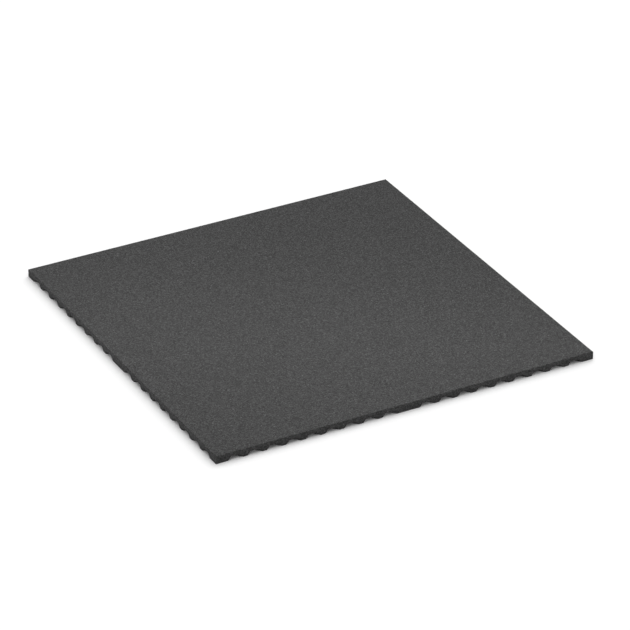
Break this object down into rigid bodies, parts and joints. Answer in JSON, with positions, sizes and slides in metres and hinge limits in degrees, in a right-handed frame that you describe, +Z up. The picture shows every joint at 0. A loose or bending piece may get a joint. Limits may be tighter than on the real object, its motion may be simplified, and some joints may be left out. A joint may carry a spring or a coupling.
{
  "type": "rubber gym floor tile",
  "caption": "Square black rubber granulate floor tile with a flat top and straight butt edges; pockets in its underside show as a row of arches along each side.",
  "frame": {"origin": "middle of the underside, on the floor that the tile lies on", "axes": "+Z up through the tile's thickness; +X and +Y along its sides"},
  "size_m": [1, 1, 0.02],
  "materials": {
    "rubber_granulate": "matt, fine-grained bonded granules"
  },
  "bodies": {
    "root": {"rubber_tile": "rubber_granulate"}
  },
  "joints": []
}
